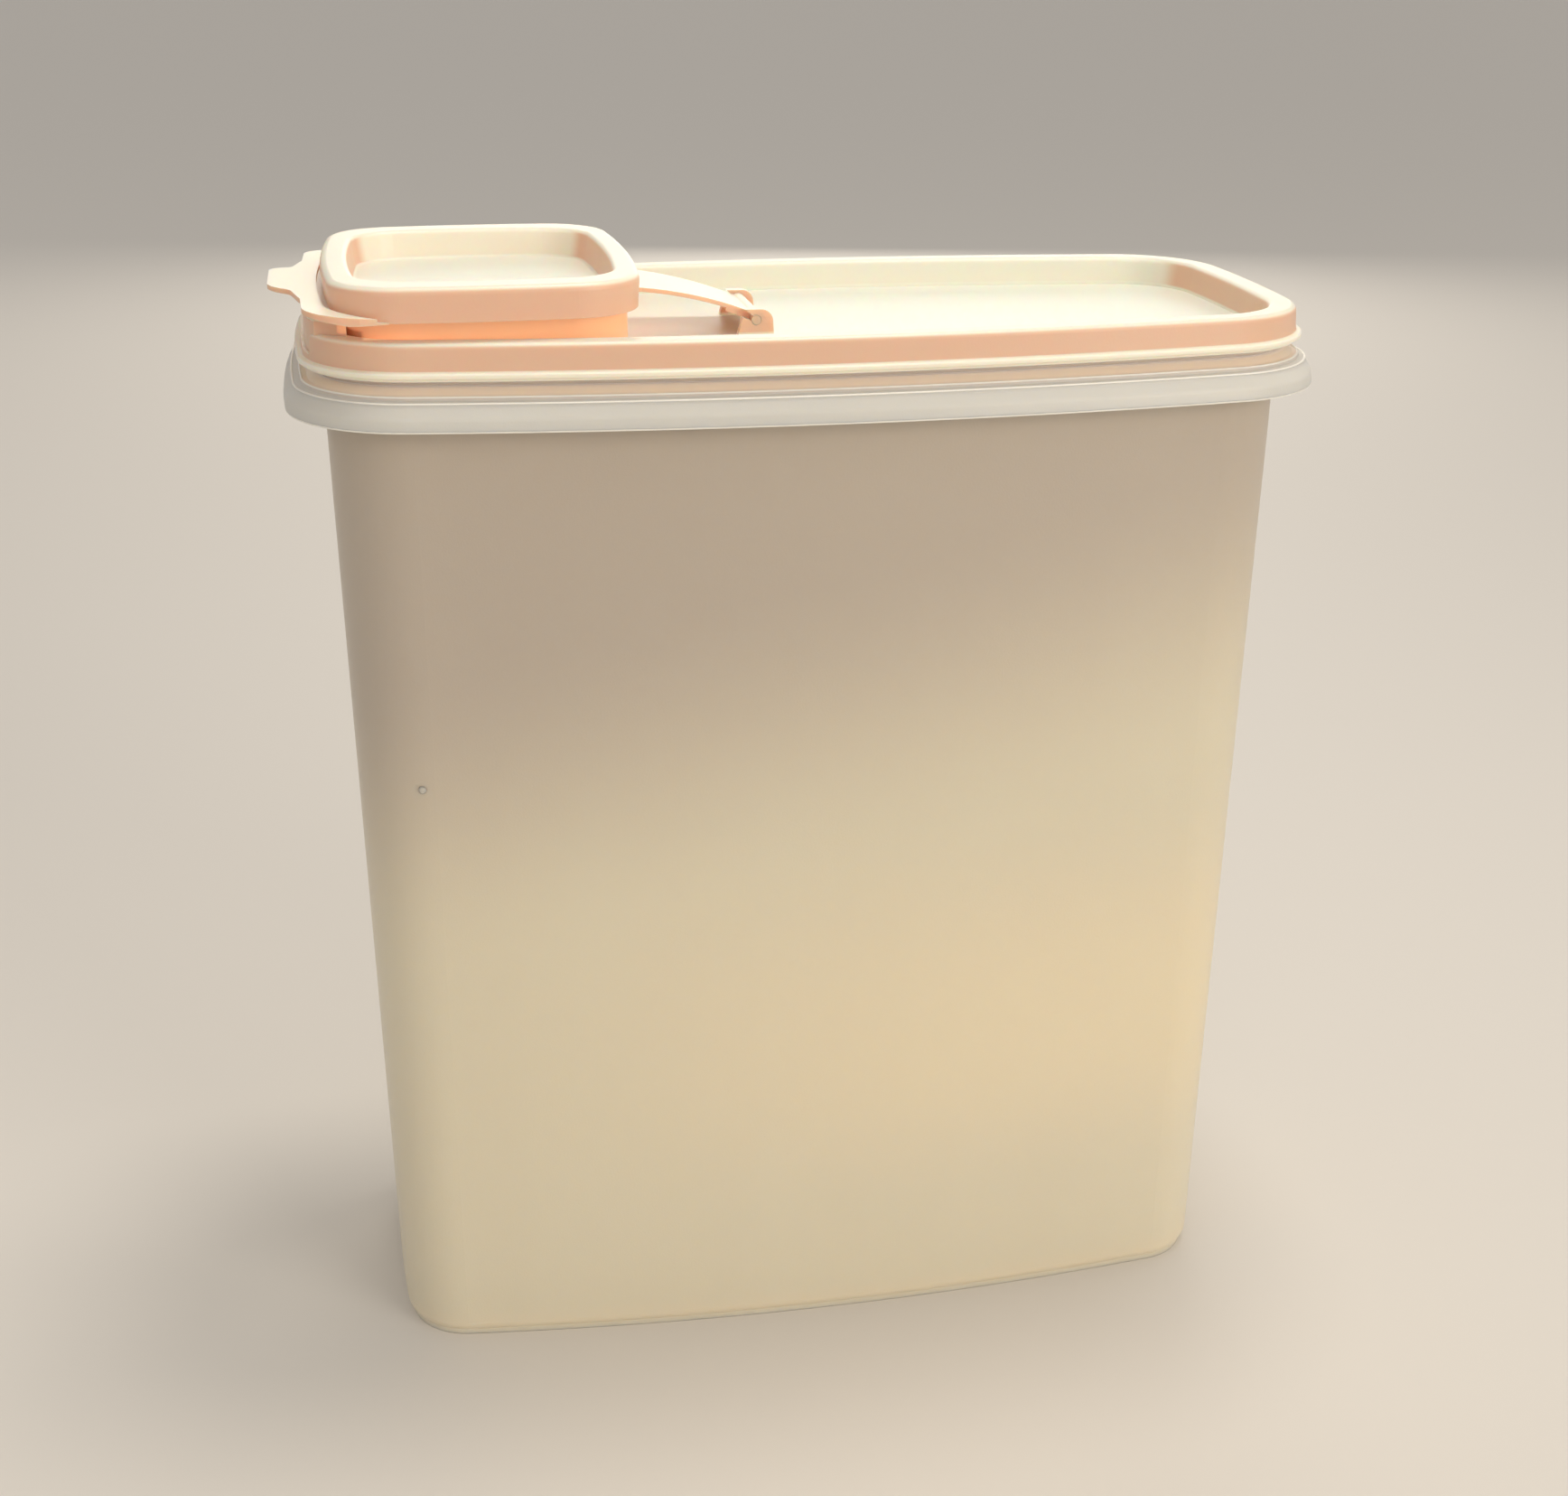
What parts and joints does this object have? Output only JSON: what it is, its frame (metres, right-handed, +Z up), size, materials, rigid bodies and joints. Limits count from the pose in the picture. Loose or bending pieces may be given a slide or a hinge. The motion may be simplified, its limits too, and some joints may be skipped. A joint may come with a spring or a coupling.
{
  "type": "dry food container with flip spout",
  "caption": "Tall tapered dry food container with a press-on lid, a spout collar at one end and a hinged pour cap with a thumb tab.",
  "frame": {"origin": "on the surface that the container stands on, under the middle of its body", "axes": "+Z up; +X along the length, away from the spout; the spout end is at -X; +Y across the depth"},
  "size_m": [0.2555, 0.1218, 0.2815],
  "materials": {
    "body": "frosted, translucent",
    "lid": "satin, slightly translucent",
    "cap": "satin, slightly translucent"
  },
  "bodies": {
    "container": {"container_body": "body"},
    "lid": {"lid": "lid"},
    "cap": {"flip_cap": "cap"}
  },
  "joints": [
    {"name": "lid_lift", "type": "slide", "parent": "container", "child": "lid", "axis": [0, 0, 1], "range_m": [0, 0.12]},
    {"name": "cap_hinge", "type": "hinge", "parent": "lid", "child": "cap", "pos_m": [-0.0129, 0, 0.266], "axis": [0, 1, 0], "range_deg": [0, 155]}
  ]
}
